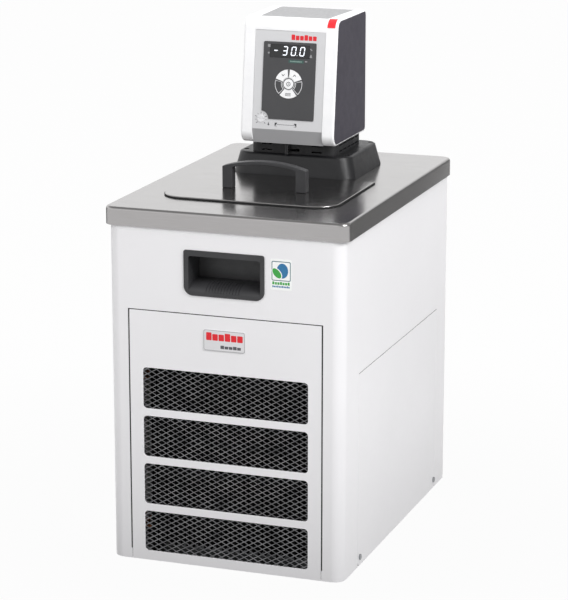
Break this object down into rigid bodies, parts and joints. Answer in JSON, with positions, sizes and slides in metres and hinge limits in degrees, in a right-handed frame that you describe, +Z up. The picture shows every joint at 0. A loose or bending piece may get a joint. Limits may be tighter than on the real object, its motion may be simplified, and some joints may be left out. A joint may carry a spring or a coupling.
{
  "type": "refrigerated circulator",
  "caption": "Floor-standing refrigerated bath circulator: white cabinet with a venting grille, stainless top with lidded bath, and a control head over its pump.",
  "frame": {"origin": "on the floor, below the middle of the steel top", "axes": "+Z up, the front with the grille faces -Y, +X to the right seen from the front"},
  "size_m": [0.33, 0.47, 0.6899],
  "materials": {
    "white_sheet": "fine satin powder coat",
    "brushed_top": "brushed",
    "bath_steel": "satin",
    "dark_moulding": "fine grain",
    "black_moulding": "matt",
    "head_white": "semi-gloss",
    "head_grey": "smooth matt",
    "cheek_grey": "smooth matt",
    "keypad_foil": "fine textured foil",
    "display_glass": "dark glass",
    "red_mark": "semi-gloss",
    "adjuster_plastic": "smooth",
    "badge_metal": "satin",
    "black_mesh": "satin",
    "zinc_steel": "bright zinc",
    "stub_steel": "machined",
    "foot_rubber": "matt",
    "foam": "closed foam",
    "fin_aluminium": "mill",
    "motor_metal": "cast",
    "rotor_steel": "machined",
    "fan_plastic": "satin",
    "copper": "drawn copper",
    "board_green": "solder resist",
    "lever_blue": "semi-gloss"
  },
  "bodies": {
    "cabinet": {"cabinet_wrap": "white_sheet", "side_panel_left": "white_sheet", "side_panel_right": "white_sheet", "side_screws": "zinc_steel", "rear_panel": "white_sheet", "base_pan": "zinc_steel", "feet": "foot_rubber", "grille_clips": "zinc_steel", "grip_recess": "dark_moulding", "top_cover": "brushed_top", "bath_tank": "bath_steel", "insulation": "foam", "lid": "brushed_top", "lid_handle": "dark_moulding", "bridge_plate": "dark_moulding", "bridge_screws": "zinc_steel", "neck": "black_moulding", "pump_connectors": "stub_steel", "head_shell": "head_white", "head_floor": "black_moulding", "fascia": "head_grey", "top_inset": "head_grey", "head_rear_cover": "head_white", "cheek_panel_left": "cheek_grey", "cheek_panel_right": "cheek_grey", "corner_tab": "red_mark", "keypad_panel": "keypad_foil", "display_window": "display_glass", "display_board": "board_green", "control_board": "board_green", "pump_motor": "motor_metal", "pump_housing": "bath_steel", "heater_coil": "bath_steel", "cooling_coil": "bath_steel", "temperature_probe": "bath_steel", "level_guide": "bath_steel", "condenser": "fin_aluminium", "fan_shroud": "black_mesh", "fan_motor": "motor_metal", "compressor": "black_mesh", "compressor_mounts": "foot_rubber", "filter_drier": "copper", "refrigerant_pipes": "copper", "drain_line": "stub_steel", "mains_inlet": "black_moulding", "rear_sockets": "black_moulding"},
    "grille": {"venting_grille": "white_sheet", "grille_mesh": "black_mesh", "badge_plate": "badge_metal"},
    "drain_tap": {"drain_lever": "lever_blue"},
    "fan": {"fan_blades": "fan_plastic"},
    "pump": {"pump_rotor": "rotor_steel"},
    "selector": {"flow_selector": "dark_moulding"},
    "adjuster": {"cutoff_adjuster": "adjuster_plastic"},
    "ok_key": {"key_ok": "head_white"},
    "up_key": {"key_up": "head_white"},
    "down_key": {"key_down": "head_white"},
    "menu_key": {"key_menu": "head_white"},
    "switch": {"mains_switch": "black_moulding"},
    "float": {"level_float": "black_moulding"}
  },
  "joints": [
    {"name": "grille_pull", "type": "slide", "parent": "cabinet", "child": "grille", "axis": [0, -1, 0], "range_m": [0, 0.06]},
    {"name": "drain_turn", "type": "hinge", "parent": "cabinet", "child": "drain_tap", "pos_m": [0.062, -0.1863, 0.302], "axis": [0, 0, 1], "range_deg": [-90, 0]},
    {"name": "fan_spin", "type": "hinge", "parent": "cabinet", "child": "fan", "pos_m": [0, -0.15, 0.1405], "axis": [0, 1, 0], "continuous": true},
    {"name": "pump_spin", "type": "hinge", "parent": "cabinet", "child": "pump", "pos_m": [0, 0.057, 0.5], "axis": [0, 0, 1], "continuous": true},
    {"name": "flow_turn", "type": "hinge", "parent": "cabinet", "child": "selector", "pos_m": [0, 0.038, 0.51], "axis": [0, 0, 1], "range_deg": [-8, 44]},
    {"name": "cutoff_turn", "type": "hinge", "parent": "cabinet", "child": "adjuster", "pos_m": [-0.0375, 0.005, 0.5555], "axis": [0, -0.993, 0.1184], "range_deg": [-135, 135]},
    {"name": "ok_press", "type": "slide", "parent": "cabinet", "child": "ok_key", "axis": [0, 0.993, -0.1184], "range_m": [0, 0.00035], "stiffness_N_per_m": 800},
    {"name": "up_press", "type": "slide", "parent": "cabinet", "child": "up_key", "axis": [0, 0.993, -0.1184], "range_m": [0, 0.00035], "stiffness_N_per_m": 800},
    {"name": "down_press", "type": "slide", "parent": "cabinet", "child": "down_key", "axis": [0, 0.993, -0.1184], "range_m": [0, 0.00035], "stiffness_N_per_m": 800},
    {"name": "menu_press", "type": "slide", "parent": "cabinet", "child": "menu_key", "axis": [0, 0.993, -0.1184], "range_m": [0, 0.00035], "stiffness_N_per_m": 800},
    {"name": "switch_rock", "type": "hinge", "parent": "cabinet", "child": "switch", "pos_m": [0.03, 0.14, 0.556], "axis": [1, 0, 0], "range_deg": [0, 12]},
    {"name": "float_rise", "type": "slide", "parent": "cabinet", "child": "float", "axis": [0, 0, 1], "range_m": [0, 0.012]}
  ]
}
